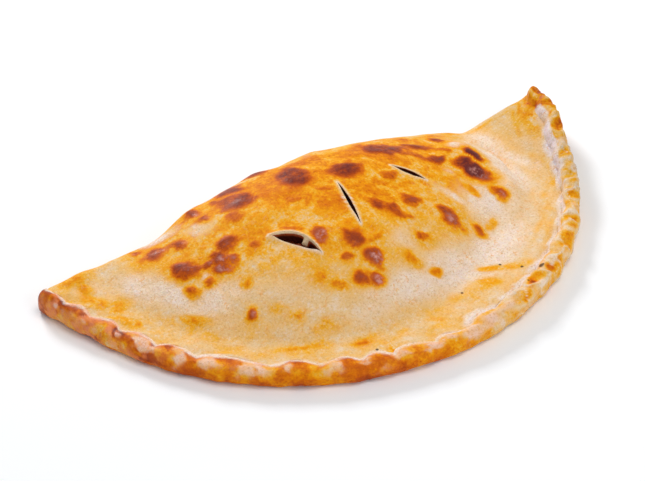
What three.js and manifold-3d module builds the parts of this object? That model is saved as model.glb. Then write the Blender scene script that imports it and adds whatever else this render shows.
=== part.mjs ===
import * as THREE from "three";
import Module from "manifold-3d";

// Seafood calzone: a half-moon of folded bread dough, finger-crimped along the curved side,
// puffed up over the filling and slit three times on top. Millimetres, +Z up, the fold along X.
// It rests on its flat underside, and the right wing curls up off the table.

// Plan of the half-moon
const shoulderRadius = 132.5;
const leftEase = 3.0;
const leftReach = 8.0;
const leftSharpness = 60;
const rightEase = 0.5;
const rightReach = 6.3;
const rightSharpness = 70;
const foldLine = -2.0;
const foldBow = 8.0;
const foldBowHalf = 112.0;
const tipRounding = 2.4;
const planStep = 0.35;

// Top skin
const skinCentre = [-8.0, -52.0];
const sheetHeight = 8.6;
const foldRound = 6.0;
const foldEdgeLow = 4.4;
const foldEdgeHigh = 11.0;
const foldEdgeHalf = 100;
const foldEdgeFade = 60;
const leftPuff = 2.2;
const leftPuffFrom = -84.0;
const leftPuffTo = -106.0;
const leftPuffDepth = 16;
const domeHeight = 38.0;
const domeCentre = -18.6;
const domeLeft = 95.5;
const domeRight = 109.4;
const domeFront = 108.0;
const domeSide = 1.96;
const domeFrontPower = 2.2;
const domeToe = 1.15;
const domeSoftness = 0.07;
const domeBack = 108.0;

// Ridge that ends the puffed part on the right
const ridgeCentre = [44.5, -43.3];
const ridgeRadius = 38.2;
const ridgeRise = 6.0;
const ridgeInner = 17.0;
const ridgeOuter = 8.0;
const ridgeAngle = 0.78;

// Lumps and hollows in the dough beside the fold: place, reach, rise
const lumps = [
  { at: [-62.0, -3.0], reach: 8.0, rise: 2.0 },
  { at: [-80.0, -4.0], reach: 8.0, rise: -1.8 },
  { at: [94.5, -3.0], reach: 7.0, rise: -2.0 },
  { at: [130.0, -3.0], reach: 6.0, rise: -1.6 },
  { at: [-119.5, -4.0], reach: 7.0, rise: 1.6 },
  { at: [-26.0, -1.0], reach: 6.0, rise: 1.0 },
  { at: [-12.0, -1.0], reach: 6.0, rise: -1.1 },
  { at: [6.0, -1.0], reach: 6.0, rise: 1.0 },
];

// Both tips sink in a quarter round: their ends along X, the reach and the depth of the fall
const tips = [
  { end: -143.1, inward: 1, reach: 9.0, fall: 3.6 },
  { end: 138.9, inward: -1, reach: 6.0, fall: 3.0 },
];

// Curl of the right wing
const wingLift = 12.0;
const wingLiftStart = 92.0;
const wingLiftEnd = 142.0;
const wingLiftPower = 1.6;

// Crimped rim: places of the finger notches, measured along the front from the left tip
const crimpNotches = [
  17, 33, 49, 69, 89, 123, 145, 164, 180, 201, 218,
  237, 257, 274, 289, 308, 325, 340, 357, 375, 393, 409,
];

// Sizes of the rim's roll, each for the left part and for the right part, where the crimps are deeper
const rightPartStart = 195.0;
const rightPartEnd = 265.0;
const rollWidth = [11.3, 9.6];
const notchNarrowing = [3.0, 1.3];
const rollHeight = [9.4, 11.8];
const notchDrop = [0.5, 0.9];
const notchPull = [0.9, 0.5];
const crimpSlant = [3.0, 6.0];
const grooveDepth = [0.1, 1.3];
const pitDepth = [0.5, 1.5];
const pitPlace = [0.4, 0.38];

const pitHeight = 0.15;
const pitLength = 4.6;
const rollSquareness = 2.5;
const rollInnerDrop = 0.5;
const skewSwing = 0.4;
const skewPeriod = 5.0;
const skewFirst = 2;
const slantPivot = 0.3;
const crimpRamp = 9.0;
const crimpWrap = 7.0;
const rimBlend = 0.3;
const tipCalm = 0.8;
const calmReach = 13.0;
const guideInset = 14.0;
const foldUnderside = 5.0;
const foldUndersideShare = 0.3;
const tipZone = 34.0;
const tipUnderside = 0.15;

// Places along the rim where the roll is narrower, and where it stands out or back
const narrowings = [
  { place: 8.0, reach: 40.0, amount: 2.2 },
  { place: 215.0, reach: 13.0, amount: 2.4 },
];
const bulges = [
  { place: 395.0, reach: 13.0, amount: 2.3 },
  { place: 10.0, reach: 12.0, amount: -1.6 },
];

// Hollow for the filling
const crustWall = 4.4;
const crustFloor = 4.2;
const hollowEdge = 1.2;
const hollowDome = 2.5;
const hollowFold = 6.5;
const hollowStart = 10;
const hollowStep = 0.1;
const fillingGap = 0.4;
const steepest = 2.5;
const hollowProbe = 0.5;

// Slits in the top: one end, length, turn in degrees, bulge to the far and to the near side
const slits = [
  { end: [-47.2, -48.3], length: 25.5, turn: -53.8, far: 4.7, near: 1.0 },
  { end: [-2.6, -36.5], length: 27.2, turn: -100.4, far: 1.2, near: 0.8 },
  { end: [29.1, -33.3], length: 17.6, turn: -46.1, far: 1.5, near: 1.0 },
];
const slitDepth = 9.0;
const slitClearance = 6.0;
const slitSteps = 14;

// Mesh density
const columnsPerCrimp = 7;
const foldColumns = 38;
const foldCrowding = 0.65;
const domeRings = 11;
const rimRings = 9;
const baseRings = 3;
const baseSpan = 0.36;
const hollowColumns = 52;
const hollowRings = 8;

function clamp(value, low, high) {
  return Math.min(high, Math.max(low, value));
}

function smooth(value) {
  const a = clamp(value, 0, 1);
  return a * a * (3 - 2 * a);
}

function signedPower(value, power) {
  return Math.sign(value) * Math.pow(Math.abs(value), power);
}

function bell(distance) {
  return Math.exp(-(distance ** 2));
}

function blend(from, to, share) {
  return from + (to - from) * share;
}

// Sum of bells along the rim
function swellAlong(list, run) {
  let total = 0;
  for (const { place, reach, amount } of list) {
    total += amount * bell((run - place) / reach);
  }
  return total;
}

// The fold edge is a line with a slight bow
function foldEdgeY(x) {
  const bow = Math.max(0, 1 - (x / foldBowHalf) ** 2) ** 2;
  return foldLine + foldBow * bow;
}

function leftShare(x) {
  return smooth((leftPuffFrom - x) / (leftPuffFrom - leftPuffTo));
}

// Height at which the fold turns from its top to its underside
function foldEdgeHeight(x) {
  const along = Math.max(0, 1 - (x / foldEdgeHalf) ** 2);
  return foldEdgeLow + (foldEdgeHigh - foldEdgeLow) * along + leftPuff * leftShare(x);
}

// Plan outline walked from the left tip along the front to the right tip and back along the fold
function planPolyline() {
  const raw = [];
  const steps = 1400;
  for (let i = 0; i <= steps; i += 1) {
    const angle = (Math.PI * i) / steps;
    const c = Math.cos(angle);
    const ease = c > 0 ? leftEase : rightEase;
    const reach = c > 0 ? leftReach : rightReach;
    const sharpness = c > 0 ? leftSharpness : rightSharpness;
    const radius = shoulderRadius + ease * c * c + reach * Math.abs(c) ** sharpness;
    const depth = radius * Math.sin(angle) * (1 + foldLine / shoulderRadius);
    raw.push([-radius * c, foldLine - depth]);
  }
  const frontEnd = raw.length - 1;
  const rightX = raw[frontEnd][0];
  const leftX = raw[0][0];
  for (let i = 1; i < steps; i += 1) {
    const x = rightX + ((leftX - rightX) * i) / steps;
    raw.push([x, foldEdgeY(x)]);
  }
  return { raw, frontEnd };
}

function resampled(raw, frontEnd) {
  const lengths = [0];
  for (let i = 1; i <= raw.length; i += 1) {
    const a = raw[i - 1];
    const b = raw[i % raw.length];
    lengths.push(lengths[i - 1] + Math.hypot(b[0] - a[0], b[1] - a[1]));
  }
  const perimeter = lengths[raw.length];
  const count = Math.round(perimeter / planStep);
  const points = [];
  let k = 0;
  for (let i = 0; i < count; i += 1) {
    const s = (perimeter * i) / count;
    while (lengths[k + 1] < s) {
      k += 1;
    }
    const f = (s - lengths[k]) / (lengths[k + 1] - lengths[k]);
    const a = raw[k];
    const b = raw[(k + 1) % raw.length];
    points.push([a[0] + (b[0] - a[0]) * f, a[1] + (b[1] - a[1]) * f]);
  }
  return { points, perimeter, frontLength: lengths[frontEnd] };
}

// The tips are rounded by a bell-shaped average along the outline
function rounded(points, spacing) {
  const reach = Math.ceil((3 * tipRounding) / spacing);
  const weights = [];
  let total = 0;
  for (let j = -reach; j <= reach; j += 1) {
    const weight = Math.exp(-0.5 * ((j * spacing) / tipRounding) ** 2);
    weights.push(weight);
    total += weight;
  }
  const count = points.length;
  return points.map((_, i) => {
    let x = 0;
    let y = 0;
    for (let j = -reach; j <= reach; j += 1) {
      const point = points[(i + j + count) % count];
      x += (weights[j + reach] / total) * point[0];
      y += (weights[j + reach] / total) * point[1];
    }
    return [x, y];
  });
}

const polyline = planPolyline();
const plan = resampled(polyline.raw, polyline.frontEnd);
const planPoints = rounded(plan.points, plan.perimeter / plan.points.length);
const frontLength = plan.frontLength;

// Point and outward direction of the outline at a distance from the left tip
function outlineAt(distance) {
  const count = planPoints.length;
  const place = (((distance / plan.perimeter) * count) % count + count) % count;
  const i = Math.floor(place);
  const f = place - i;
  const a = planPoints[i];
  const b = planPoints[(i + 1) % count];
  const before = planPoints[(i + count - 2) % count];
  const after = planPoints[(i + 3) % count];
  const dx = after[0] - before[0];
  const dy = after[1] - before[1];
  const size = Math.hypot(dx, dy);
  return {
    x: a[0] + (b[0] - a[0]) * f,
    y: a[1] + (b[1] - a[1]) * f,
    outX: dy / size,
    outY: -dx / size,
  };
}

// The same, with the direction turned away from the skin's centre near the two tips
function rimPlace(distance) {
  const place = outlineAt(distance);
  const dx = place.x - skinCentre[0];
  const dy = place.y - skinCentre[1];
  const far = Math.hypot(dx, dy);
  const share = smooth(1 - Math.min(distance, frontLength - distance) / tipZone);
  const outX = place.outX + (dx / far - place.outX) * share;
  const outY = place.outY + (dy / far - place.outY) * share;
  const size = Math.hypot(outX, outY);
  return { x: place.x, y: place.y, outX: outX / size, outY: outY / size };
}

// Dough over the filling: a dome that leans back to the fold, eased out at its foot
function domeRise(x, y) {
  const sideways = x < domeCentre ? (domeCentre - x) / domeLeft : (x - domeCentre) / domeRight;
  const forward = Math.max(0, -y) / domeFront;
  const sharp = 1 - sideways ** domeSide - forward ** domeFrontPower;
  const spread = (sharp + Math.hypot(sharp, domeSoftness)) / 2;
  const b = clamp(1 - foldDepth(x, y) / domeBack, 0, 1);
  return domeHeight * spread ** domeToe * Math.sqrt(1 - b * b);
}

function foldDepth(x, y) {
  return Math.max(0, foldEdgeY(x) - y);
}

function tipPuff(x, y) {
  return leftPuff * leftShare(x) * bell(foldDepth(x, y) / leftPuffDepth);
}

function tipFall(x) {
  let total = 0;
  for (const { end, inward, reach, fall } of tips) {
    const u = clamp(1 - ((x - end) * inward) / reach, 0, 1);
    total += fall * (1 - Math.sqrt(1 - u * u));
  }
  return total;
}

// How much thicker the dough is at the left tip, less the fall of both tips
function tipSwell(x, y) {
  const edge = leftPuff * leftShare(x) * (1 - smooth(foldDepth(x, y) / foldEdgeFade));
  return edge + tipPuff(x, y) - tipFall(x);
}

function lumpRise(x, y) {
  let total = 0;
  for (const { at, reach, rise } of lumps) {
    total += rise * bell(Math.hypot(x - at[0], y - at[1]) / reach);
  }
  return total;
}

// Top skin: a thin sheet rounded down at the fold, with the dome, the end ridge and the lumps on it
function skinHeight(x, y) {
  const depth = foldDepth(x, y);
  const edge = foldEdgeHeight(x);
  const e = clamp(1 - depth / foldRound, 0, 1);
  const rise = sheetHeight - foldEdgeLow + tipPuff(x, y);
  const fade = (edge - foldEdgeLow) * smooth(depth / foldEdgeFade);
  const sheet = edge + rise * Math.sqrt(1 - e * e) - fade;
  return sheet + domeRise(x, y) + ridge(x, y) + lumpRise(x, y) - tipFall(x);
}

function ridge(x, y) {
  const dx = x - ridgeCentre[0];
  const dy = y - ridgeCentre[1];
  const off = Math.hypot(dx, dy) - ridgeRadius;
  const width = off < 0 ? ridgeInner : ridgeOuter;
  const turn = Math.atan2(dy, dx) / ridgeAngle;
  return ridgeRise * bell(off / width) * bell(turn ** 2);
}

function wingRise(x) {
  const share = clamp((x - wingLiftStart) / (wingLiftEnd - wingLiftStart), 0, 1.2);
  return wingLift * share ** wingLiftPower;
}

// One column of the skin: how full the roll is there, the way to the crimp's middle and the rim's part
function columnAt(distance, number, phase, length) {
  const skew = 1 + skewSwing * Math.cos(((number - skewFirst) * 2 * Math.PI) / skewPeriod);
  const onLeftFold = distance > (frontLength + plan.perimeter) / 2;
  const run = onLeftFold ? distance - plan.perimeter : distance;
  const right = smooth((run - rightPartStart) / (rightPartEnd - rightPartStart));
  const start = smooth((run + crimpWrap) / crimpRamp);
  const crimp = start * smooth((frontLength + crimpWrap - run) / crimpRamp);
  const calm = 1 - tipCalm * bell(run / calmReach);
  return {
    distance,
    run,
    right,
    crimp,
    offMiddle: (phase - 0.5) * length,
    bump: Math.sin(Math.PI * phase ** skew) * calm,
    slant: blend(...crimpSlant, right) * crimp,
  };
}

// Columns: evenly spread in every crimp, then along the fold, closer together near its ends
function columnList() {
  const marks = [0, ...crimpNotches, frontLength];
  const list = [];
  for (let i = 0; i + 1 < marks.length; i += 1) {
    const length = marks[i + 1] - marks[i];
    for (let j = 0; j < columnsPerCrimp; j += 1) {
      const phase = j / columnsPerCrimp;
      list.push(columnAt(marks[i] + length * phase, i, phase, length));
    }
  }
  const last = marks.length - 2;
  const lastLength = marks[last + 1] - marks[last];
  const foldLength = plan.perimeter - frontLength;
  for (let j = 0; j < foldColumns; j += 1) {
    const t = j / foldColumns;
    const crowded = t - (foldCrowding * Math.sin(2 * Math.PI * t)) / (2 * Math.PI);
    list.push(columnAt(frontLength + foldLength * crowded, last, 1, lastLength));
  }
  return list;
}

// Cross-section of the rim, from the groove over the roll and down to the foot. Along the fold it is a
// quarter round instead.
function rimPoint(column, share) {
  const { distance, run, bump, crimp, right } = column;
  const rolled = rimPlace(run + column.slant * (share - slantPivot));
  const plain = outlineAt(distance);
  const onRim = smooth(crimp / rimBlend);
  const x = blend(plain.x, rolled.x, onRim);
  const y = blend(plain.y, rolled.y, onRim);
  const outX = blend(plain.outX, rolled.outX, onRim);
  const outY = blend(plain.outY, rolled.outY, onRim);
  const narrowed = blend(...notchNarrowing, right) * (1 - bump) + swellAlong(narrowings, run);
  const width = blend(...rollWidth, right) - narrowed;
  const half = (blend(...rollHeight, right) - blend(...notchDrop, right) * (1 - bump)) / 2;
  const start = (sheetHeight - rollInnerDrop - half) / half;
  const first = Math.PI - Math.asin(clamp(signedPower(start, rollSquareness / 2), -1, 1));
  const angle = first + (-Math.PI / 2 - first) * share;
  const across = Math.cos(angle);
  const upward = Math.sin(angle);
  const pitFar = Math.hypot((share - blend(...pitPlace, right)) / pitHeight, column.offMiddle / pitLength);
  const pit = blend(...pitDepth, right) * bell(pitFar);
  const pull = blend(...notchPull, right) * (1 - bump) * Math.max(0, across) - swellAlong(bulges, run);
  const roll = -width / 2 + (width / 2) * signedPower(across, 2 / rollSquareness) - pull - pit * across;
  const bareZ = half + half * signedPower(upward, 2 / rollSquareness) - pit * upward;
  const quarter = (share * Math.PI) / 2;
  const under = -tuckAt(distance, x) * (1 - Math.cos(quarter));
  const underZ = skinHeight(x, y) * (1 - Math.sin(quarter));
  const out = blend(under, roll, crimp);
  const placeX = x + outX * out;
  const placeY = y + outY * out;
  const rollZ = bareZ * (1 + tipSwell(placeX, placeY) / sheetHeight);
  return [placeX, placeY, blend(underZ, rollZ, crimp)];
}

// How far the fold is rounded in at its foot, less towards the tips
function tuckAt(distance, x) {
  const tipDistance = Math.min(
    Math.abs(distance),
    Math.abs(frontLength - distance),
    plan.perimeter - distance,
  );
  const share = tipUnderside + (1 - tipUnderside) * smooth(tipDistance / tipZone);
  return (foldUnderside + foldUndersideShare * foldEdgeHeight(x)) * share;
}

// Closed skin as rings from the top centre over the rim to the underside centre
function skinRings() {
  const columns = columnList();
  const rings = [];
  for (let r = 1; r <= domeRings; r += 1) {
    const share = r / domeRings;
    const v = 0.5 * share + 0.5 * Math.sin((share * Math.PI) / 2);
    rings.push(columns.map((column) => {
      const guide = outlineAt(column.run - column.slant * slantPivot);
      const dx = guide.x - skinCentre[0];
      const dy = guide.y - skinCentre[1];
      const reach = 1 - (guideInset * column.crimp) / Math.hypot(dx, dy);
      const x = skinCentre[0] + dx * reach * v;
      const y = skinCentre[1] + dy * reach * v;
      return [x, y, skinHeight(x, y)];
    }));
  }
  rings.push(columns.map((column) => {
    const [x, y] = rimPoint(column, 0);
    return [x, y, skinHeight(x, y) - blend(...grooveDepth, column.right) * column.crimp];
  }));
  for (let r = 1; r < rimRings; r += 1) {
    rings.push(columns.map((column) => rimPoint(column, r / (rimRings - 1))));
  }
  const foot = rings[rings.length - 1];
  for (let r = 1; r <= baseRings; r += 1) {
    const v = 1 - baseSpan * (r / baseRings);
    rings.push(foot.map((point) => [
      skinCentre[0] + (point[0] - skinCentre[0]) * v,
      skinCentre[1] + (point[1] - skinCentre[1]) * v,
      0,
    ]));
  }
  for (const ring of rings) {
    for (const point of ring) {
      point[2] += wingRise(point[0]);
    }
  }
  return rings;
}

// Rings that run round once each, joined to one closed mesh with a point at both ends
function closedMesh(rings, first, last) {
  const positions = [...first];
  const index = [];
  const count = rings[0].length;
  for (const ring of rings) {
    for (const point of ring) {
      positions.push(...point);
    }
  }
  positions.push(...last);
  const end = rings.length * count + 1;
  for (let i = 0; i < count; i += 1) {
    const j = (i + 1) % count;
    index.push(0, 1 + i, 1 + j);
    const base = 1 + (rings.length - 1) * count;
    index.push(end, base + j, base + i);
    for (let r = 0; r + 1 < rings.length; r += 1) {
      const a = 1 + r * count;
      const b = a + count;
      index.push(a + i, b + i, b + j);
      index.push(a + i, b + j, a + j);
    }
  }
  return { positions, index };
}

// Roof of the hollow, kept one wall under the skin also where the skin is steep
function hollowRoof(x, y, inset) {
  const here = skinHeight(x, y);
  const slopeX = (skinHeight(x + hollowProbe, y) - here) / hollowProbe;
  const slopeY = (skinHeight(x, y + hollowProbe) - here) / hollowProbe;
  const slope = Math.min(steepest, Math.hypot(slopeX, slopeY));
  return here - (crustWall + inset) * Math.hypot(1, slope);
}

function hollowReach(angle) {
  let reach = hollowStart;
  let inside = true;
  while (inside) {
    reach += hollowStep;
    const x = skinCentre[0] + Math.cos(angle) * reach;
    const y = skinCentre[1] + Math.sin(angle) * reach;
    const domed = domeRise(x, y) > hollowDome && foldDepth(x, y) > hollowFold;
    inside = domed && hollowRoof(x, y, 0) > crustFloor + hollowEdge;
  }
  return reach;
}

// The hollow itself, or with an inset the filling that fits in it
function hollowMesh(inset) {
  const rings = [];
  const floor = crustFloor + inset;
  for (let r = 1; r <= hollowRings; r += 1) {
    const v = Math.sin(((r / hollowRings) * Math.PI) / 2);
    const ring = [];
    for (let i = 0; i < hollowColumns; i += 1) {
      const angle = (2 * Math.PI * i) / hollowColumns;
      const reach = (hollowReach(angle) - inset) * v;
      const x = skinCentre[0] + Math.cos(angle) * reach;
      const y = skinCentre[1] + Math.sin(angle) * reach;
      ring.push([x, y, Math.max(floor + hollowEdge / 2, hollowRoof(x, y, inset))]);
    }
    rings.push(ring);
  }
  rings.push(rings[rings.length - 1].map((point) => [point[0], point[1], floor]));
  const top = [...skinCentre, hollowRoof(...skinCentre, inset)];
  return closedMesh(rings, top, [...skinCentre, floor]);
}

// Lens-shaped cutter that goes through the crust into the hollow
function slitMesh(slit) {
  const turn = (slit.turn * Math.PI) / 180;
  const along = [Math.cos(turn), Math.sin(turn)];
  const across = [-along[1], along[0]];
  const loop = [];
  for (let i = 0; i < 2 * slitSteps; i += 1) {
    const far = i <= slitSteps;
    const share = far ? i / slitSteps : (2 * slitSteps - i) / slitSteps;
    const width = (far ? slit.far : -slit.near) * Math.sin(Math.PI * share);
    loop.push([
      slit.end[0] + along[0] * slit.length * share + across[0] * width,
      slit.end[1] + along[1] * slit.length * share + across[1] * width,
    ]);
  }
  loop.reverse();
  const middle = [
    slit.end[0] + (along[0] * slit.length) / 2,
    slit.end[1] + (along[1] * slit.length) / 2,
  ];
  const low = skinHeight(...middle) - slitDepth;
  const high = skinHeight(...middle) + slitClearance;
  const rings = [
    loop.map((point) => [...point, high]),
    loop.map((point) => [...point, low]),
  ];
  return closedMesh(rings, [...middle, high], [...middle, low]);
}

const wasm = await Module();
wasm.setup();

function solidOf(mesh) {
  return new wasm.Manifold(new wasm.Mesh({
    numProp: 3,
    vertProperties: new Float32Array(mesh.positions),
    triVerts: new Uint32Array(mesh.index),
  }));
}

function geometryOf(solid, shift) {
  const mesh = solid.getMesh();
  const geometry = new THREE.BufferGeometry();
  geometry.setAttribute("position", new THREE.BufferAttribute(Float32Array.from(mesh.vertProperties), 3));
  geometry.setIndex(new THREE.BufferAttribute(Uint32Array.from(mesh.triVerts), 1));
  geometry.translate(...shift);
  const flat = geometry.toNonIndexed();
  flat.computeVertexNormals();
  return flat;
}

// Crust: outer skin with the hollow and the slits cut out of it
const rings = skinRings();
const topPoint = [...skinCentre, skinHeight(...skinCentre)];
const skin = solidOf(closedMesh(rings, topPoint, [...skinCentre, 0]));
const hollow = solidOf(hollowMesh(0));
let crustSolid = skin.subtract(hollow);
for (const slit of slits) {
  crustSolid = crustSolid.subtract(solidOf(slitMesh(slit)));
}
const fillingSolid = solidOf(hollowMesh(fillingGap));

// The origin goes under the middle of the bounding box
const box = crustSolid.boundingBox();
const shift = [-(box.min[0] + box.max[0]) / 2, -(box.min[1] + box.max[1]) / 2, -box.min[2]];

const crustMaterial = new THREE.MeshStandardMaterial({
  color: 0xe3ab5c,
  roughness: 0.62,
  metalness: 0,
});
const fillingMaterial = new THREE.MeshStandardMaterial({
  color: 0x5a2414,
  roughness: 0.38,
  metalness: 0,
});

const crust = new THREE.Mesh(geometryOf(crustSolid, shift), crustMaterial);
crust.name = "crust";
const filling = new THREE.Mesh(geometryOf(fillingSolid, shift), fillingMaterial);
filling.name = "filling";

const part = new THREE.Group();
part.name = "seafood_calzone";
part.add(crust, filling);

export default part;
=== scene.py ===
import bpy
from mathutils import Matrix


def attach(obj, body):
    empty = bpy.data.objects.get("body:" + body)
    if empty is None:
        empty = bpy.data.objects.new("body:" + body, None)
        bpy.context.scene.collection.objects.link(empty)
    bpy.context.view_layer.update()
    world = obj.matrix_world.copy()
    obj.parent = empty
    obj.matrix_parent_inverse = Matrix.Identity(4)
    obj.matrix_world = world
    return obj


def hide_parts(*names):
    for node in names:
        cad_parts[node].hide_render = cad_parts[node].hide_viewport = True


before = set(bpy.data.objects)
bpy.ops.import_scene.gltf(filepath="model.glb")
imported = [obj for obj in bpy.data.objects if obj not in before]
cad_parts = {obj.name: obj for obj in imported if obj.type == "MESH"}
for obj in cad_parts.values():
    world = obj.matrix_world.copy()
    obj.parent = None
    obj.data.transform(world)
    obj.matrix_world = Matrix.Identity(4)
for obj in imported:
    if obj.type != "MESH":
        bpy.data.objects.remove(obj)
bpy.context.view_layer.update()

from types import SimpleNamespace
import bpy
import numpy as np
from mathutils import Vector

# Everything below is worked out in millimetres with the fold along X, the crimped curve towards -Y
# and the table at z = 0. toFrame then carries it into the row frame, in metres.
foldToFrame = np.array([1.182, 63.201, 0.0])


def toFrame(points):
    return (points + foldToFrame) / 1000.0


# camera
view = {
    "looking": (0.4325, 0.6588, -0.6157),
    "target": (-0.005397, 0.032730, 0.0),
    "distance": 1.0,
    "lens": 119.44,
    "sensor": 36.0,
}


def placeCamera():
    data = bpy.data.cameras.new("camera")
    data.lens = view["lens"]
    data.sensor_width = view["sensor"]
    data.sensor_fit = "HORIZONTAL"
    data.clip_start = 0.01
    camera = bpy.data.objects.new("camera", data)
    looking = Vector(view["looking"]).normalized()
    camera.location = Vector(view["target"]) - looking * view["distance"]
    camera.rotation_euler = looking.to_track_quat("-Z", "Y").to_euler()
    bpy.context.collection.objects.link(camera)
    bpy.context.scene.camera = camera


placeCamera()
print("camera placed")

# small helpers


def smooth(share):
    # 0 below 0, 1 above 1 and an S-curve between
    share = np.clip(share, 0.0, 1.0)
    return share * share * (3.0 - 2.0 * share)


def bell(distance):
    # 1 at zero distance, falling like a bell
    return np.exp(-distance * distance)


def signedPower(value, power):
    return np.sign(value) * np.abs(value) ** power


def unit(vectors):
    return vectors / np.linalg.norm(vectors, axis=-1, keepdims=True)


def turned(dx, dy, degrees):
    # a step seen along and across a direction
    angle = np.radians(degrees)
    return dx * np.cos(angle) + dy * np.sin(angle), dy * np.cos(angle) - dx * np.sin(angle)


def lattice(points, cell, seed):
    # random numbers on a cubic lattice of that cell, blended between its corners: -1 to 1
    rng = np.random.default_rng(seed)
    table = rng.uniform(-1.0, 1.0, (64, 64, 64))
    place = points / cell + 1000.0
    low = np.floor(place).astype(int)
    part = smooth(place - low)
    total = np.zeros(points.shape[:-1])
    for corner in range(8):
        step = np.array([corner & 1, (corner >> 1) & 1, (corner >> 2) & 1])
        at = (low + step) % 64
        weight = np.prod(np.where(step == 1, part, 1.0 - part), axis=-1)
        total += weight * table[at[..., 0], at[..., 1], at[..., 2]]
    return total


# crust, the form it shares with the CAD node
crust = {
    "shoulder": 132.5, "leftEase": 3.0, "leftReach": 8.0, "leftSharp": 60, "rightEase": 0.5,
    "rightReach": 6.3, "rightSharp": 70, "foldLine": -2.0, "foldBow": 8.0, "foldBowHalf": 112.0,
    "tipRounding": 2.4, "planStep": 0.35, "centre": (-8.0, -52.0),
    "sheet": 8.6, "foldRound": 6.0, "foldLow": 4.4, "foldHigh": 11.0, "foldHalf": 100.0, "foldFade": 60.0,
    "puff": 2.2, "puffFrom": -84.0, "puffTo": -106.0, "puffDepth": 16.0,
    "domeHeight": 38.0, "domeMiddle": -18.6, "domeLeft": 95.5, "domeRight": 109.4, "domeFront": 108.0,
    "domeSide": 1.96, "domeFrontPower": 2.2, "domeToe": 1.15, "domeSoft": 0.07, "domeBack": 108.0,
    "ridgeCentre": (44.5, -43.3), "ridgeRadius": 38.2, "ridgeRise": 6.0, "ridgeInner": 17.0,
    "ridgeOuter": 8.0, "ridgeAngle": 0.78,
    "lumps": (
        (-62.0, -3.0, 8.0, 2.0), (-80.0, -4.0, 8.0, -1.8), (94.5, -3.0, 7.0, -2.0), (130.0, -3.0, 6.0, -1.6),
        (-119.5, -4.0, 7.0, 1.6), (-26.0, -1.0, 6.0, 1.0), (-12.0, -1.0, 6.0, -1.1), (6.0, -1.0, 6.0, 1.0)),
    "lift": 12.0, "liftFrom": 92.0, "liftTo": 142.0, "liftPower": 1.6,
    "notches": (17, 33, 49, 69, 89, 123, 145, 164, 180, 201, 218,
                237, 257, 274, 289, 308, 325, 340, 357, 375, 393, 409),
    "rightFrom": 195.0, "rightTo": 265.0, "rollWidth": (11.3, 9.6), "notchNarrow": (3.0, 1.3),
    "rollHeight": (9.4, 11.8), "notchDrop": (0.5, 0.9), "groove": (0.1, 1.3), "squareness": 2.5,
    "pitDepth": (0.5, 1.5), "pitPlace": (0.4, 0.38), "pitHeight": 0.15, "pitLength": 4.6,
    "innerDrop": 0.5, "notchPull": (0.9, 0.5), "skewSwing": 0.4, "skewPeriod": 5.0, "slant": (3.0, 6.0),
    "slantPivot": 0.3, "crimpRamp": 9.0, "crimpWrap": 7.0, "tipCalm": 0.8, "calmReach": 13.0,
    "guideInset": 14.0, "tipEnd": (-143.1, 138.9), "tipRound": (9.0, 6.0), "tipFall": (3.6, 3.0),
    "narrowings": ((8.0, 40.0, 2.2), (215.0, 13.0, 2.4)), "bulges": ((395.0, 13.0, 2.3), (10.0, 12.0, -1.6)),
    "underside": 5.0, "undersideShare": 0.3, "tipZone": 34.0, "tipUnderside": 0.15,
    "wall": 4.4, "floor": 4.2, "hollowEdge": 1.2, "hollowDome": 2.5, "hollowFold": 6.5, "steepest": 2.5,
    "gap": 0.4,
}


def foldEdgeY(x):
    # a straight line with a slight bow in the middle
    return crust["foldLine"] + crust["foldBow"] * np.clip(1 - (x / crust["foldBowHalf"]) ** 2, 0, None) ** 2


def leftShare(x):
    return smooth((crust["puffFrom"] - x) / (crust["puffFrom"] - crust["puffTo"]))


def foldEdgeHeight(x):
    # low at both ends and a parabola higher in the middle
    along = np.clip(1 - (x / crust["foldHalf"]) ** 2, 0, None)
    return crust["foldLow"] + (crust["foldHigh"] - crust["foldLow"]) * along + crust["puff"] * leftShare(x)


def foldDepth(x, y):
    return np.clip(foldEdgeY(x) - y, 0, None)


def domeRise(x, y):
    # an egg-shaped mound that leans back: powers of the distance sideways and forwards, eased out
    # at its foot, times a quarter circle
    side = np.abs(x - crust["domeMiddle"])
    side = side / np.where(x < crust["domeMiddle"], crust["domeLeft"], crust["domeRight"])
    forward = np.clip(-y, 0, None) / crust["domeFront"]
    spread = 1 - side ** crust["domeSide"] - forward ** crust["domeFrontPower"]
    spread = (spread + np.hypot(spread, crust["domeSoft"])) / 2
    back = np.clip(1 - foldDepth(x, y) / crust["domeBack"], 0, 1)
    return crust["domeHeight"] * spread ** crust["domeToe"] * np.sqrt(1 - back * back)


def ridge(x, y):
    # a bell across an arc that ends the puffed part on the right
    dx, dy = x - crust["ridgeCentre"][0], y - crust["ridgeCentre"][1]
    off = np.hypot(dx, dy) - crust["ridgeRadius"]
    width = np.where(off < 0, crust["ridgeInner"], crust["ridgeOuter"])
    turn = np.arctan2(dy, dx) / crust["ridgeAngle"]
    return crust["ridgeRise"] * bell(off / width) * np.exp(-turn ** 4)


def lumpRise(x, y):
    # bells that make the dough beside the fold uneven
    rise = 0.0
    for lumpX, lumpY, reach, amount in crust["lumps"]:
        rise = rise + amount * bell(np.hypot(x - lumpX, y - lumpY) / reach)
    return rise


def tipPuff(x, y):
    return crust["puff"] * leftShare(x) * bell(foldDepth(x, y) / crust["puffDepth"])


def tipFall(x):
    # a quarter round down towards both tips
    fall = 0.0
    for side in (0, 1):
        inward = (x - crust["tipEnd"][side]) * (1, -1)[side]
        u = np.clip(1 - inward / crust["tipRound"][side], 0, 1)
        fall = fall + crust["tipFall"][side] * (1 - np.sqrt(1 - u * u))
    return fall


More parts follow.
